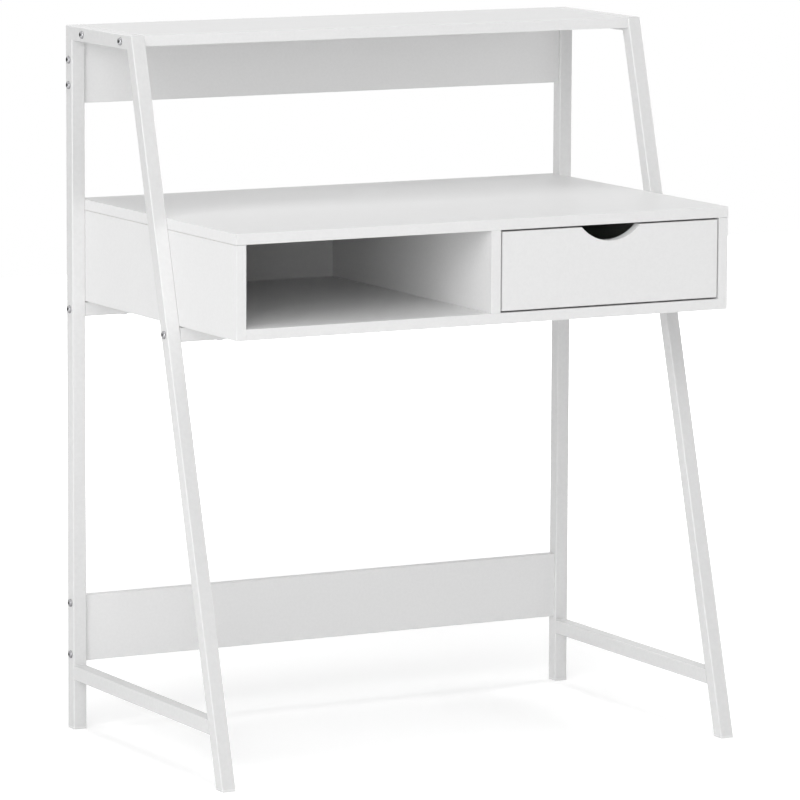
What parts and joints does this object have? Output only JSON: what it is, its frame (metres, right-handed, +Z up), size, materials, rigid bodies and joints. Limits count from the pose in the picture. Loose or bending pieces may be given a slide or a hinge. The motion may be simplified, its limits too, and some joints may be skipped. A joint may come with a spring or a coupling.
{
  "type": "computer desk",
  "caption": "White writing desk on a square-tube ladder frame, with a sliding drawer with a finger notch, an open cubby, a hutch shelf and rear panels.",
  "frame": {"origin": "on the floor, under the centre of the desk's outer box", "axes": "+X to the right seen from the front, +Y to the rear, +Z up; the drawer opens towards -Y"},
  "size_m": [0.8134, 0.492, 1],
  "materials": {
    "white_steel": "satin white powder coat",
    "foot_plastic": "matte white plastic",
    "white_board": "satin white melamine on chipboard",
    "bolt_steel": "polished",
    "zinc_steel": "zinc plated",
    "dowel_wood": "bare beech",
    "runner_steel": "white epoxy",
    "roller_plastic": "white nylon"
  },
  "bodies": {
    "desk": {"left_rear_post": "white_steel", "left_front_leg": "white_steel", "left_top_rail": "white_steel", "left_stretcher": "white_steel", "right_rear_post": "white_steel", "right_front_leg": "white_steel", "right_top_rail": "white_steel", "right_stretcher": "white_steel", "rear_crossbar": "white_steel", "front_crossbar": "white_steel", "left_rear_foot": "foot_plastic", "left_front_foot": "foot_plastic", "right_rear_foot": "foot_plastic", "right_front_foot": "foot_plastic", "crossbar_washers": "foot_plastic", "hutch_shelf": "white_board", "upper_back_panel": "white_board", "lower_back_panel": "white_board", "desktop": "white_board", "left_side": "white_board", "right_side": "white_board", "divider": "white_board", "bottom_board": "white_board", "back_board": "white_board", "frame_bolts": "bolt_steel", "barrel_nuts": "zinc_steel", "crossbar_end_blocks": "zinc_steel", "carcass_screws": "zinc_steel", "cam_bolts": "zinc_steel", "cam_locks": "zinc_steel", "cabinet_runner_screws": "zinc_steel", "front_roller_axles": "zinc_steel", "carcass_dowels": "dowel_wood", "left_cabinet_runner": "runner_steel", "right_cabinet_runner": "runner_steel"},
    "drawer": {"drawer_front": "white_board", "drawer_left_side": "white_board", "drawer_right_side": "white_board", "drawer_back": "white_board", "drawer_bottom": "white_board", "drawer_cam_bolts": "zinc_steel", "drawer_cam_locks": "zinc_steel", "drawer_back_screws": "zinc_steel", "left_drawer_runner": "runner_steel", "right_drawer_runner": "runner_steel", "drawer_runner_screws": "zinc_steel", "rear_roller_axles": "zinc_steel"},
    "left_rear_roller": {"left_rear_roller": "roller_plastic"},
    "right_rear_roller": {"right_rear_roller": "roller_plastic"},
    "left_front_roller": {"left_front_roller": "roller_plastic"},
    "right_front_roller": {"right_front_roller": "roller_plastic"}
  },
  "joints": [
    {"name": "drawer_slide", "type": "slide", "parent": "desk", "child": "drawer", "axis": [0, -1, 0], "range_m": [0, 0.3]},
    {"name": "left_rear_roller_turn", "type": "hinge", "parent": "drawer", "child": "left_rear_roller", "pos_m": [0.0267, 0.157, 0.6423], "axis": [1, 0, 0], "range_deg": [0, 1910]},
    {"name": "right_rear_roller_turn", "type": "hinge", "parent": "drawer", "child": "right_rear_roller", "pos_m": [0.3623, 0.157, 0.6423], "axis": [1, 0, 0], "range_deg": [0, 1910]},
    {"name": "left_front_roller_turn", "type": "hinge", "parent": "desk", "child": "left_front_roller", "pos_m": [0.0267, -0.22, 0.639], "axis": [1, 0, 0], "range_deg": [0, 2149]},
    {"name": "right_front_roller_turn", "type": "hinge", "parent": "desk", "child": "right_front_roller", "pos_m": [0.3623, -0.22, 0.639], "axis": [1, 0, 0], "range_deg": [0, 2149]}
  ],
  "couplings": [
    {"joint": "left_rear_roller_turn", "follows": "drawer_slide", "rad_per_m": 111.11},
    {"joint": "right_rear_roller_turn", "follows": "drawer_slide", "rad_per_m": 111.11},
    {"joint": "left_front_roller_turn", "follows": "drawer_slide", "rad_per_m": 125},
    {"joint": "right_front_roller_turn", "follows": "drawer_slide", "rad_per_m": 125}
  ]
}
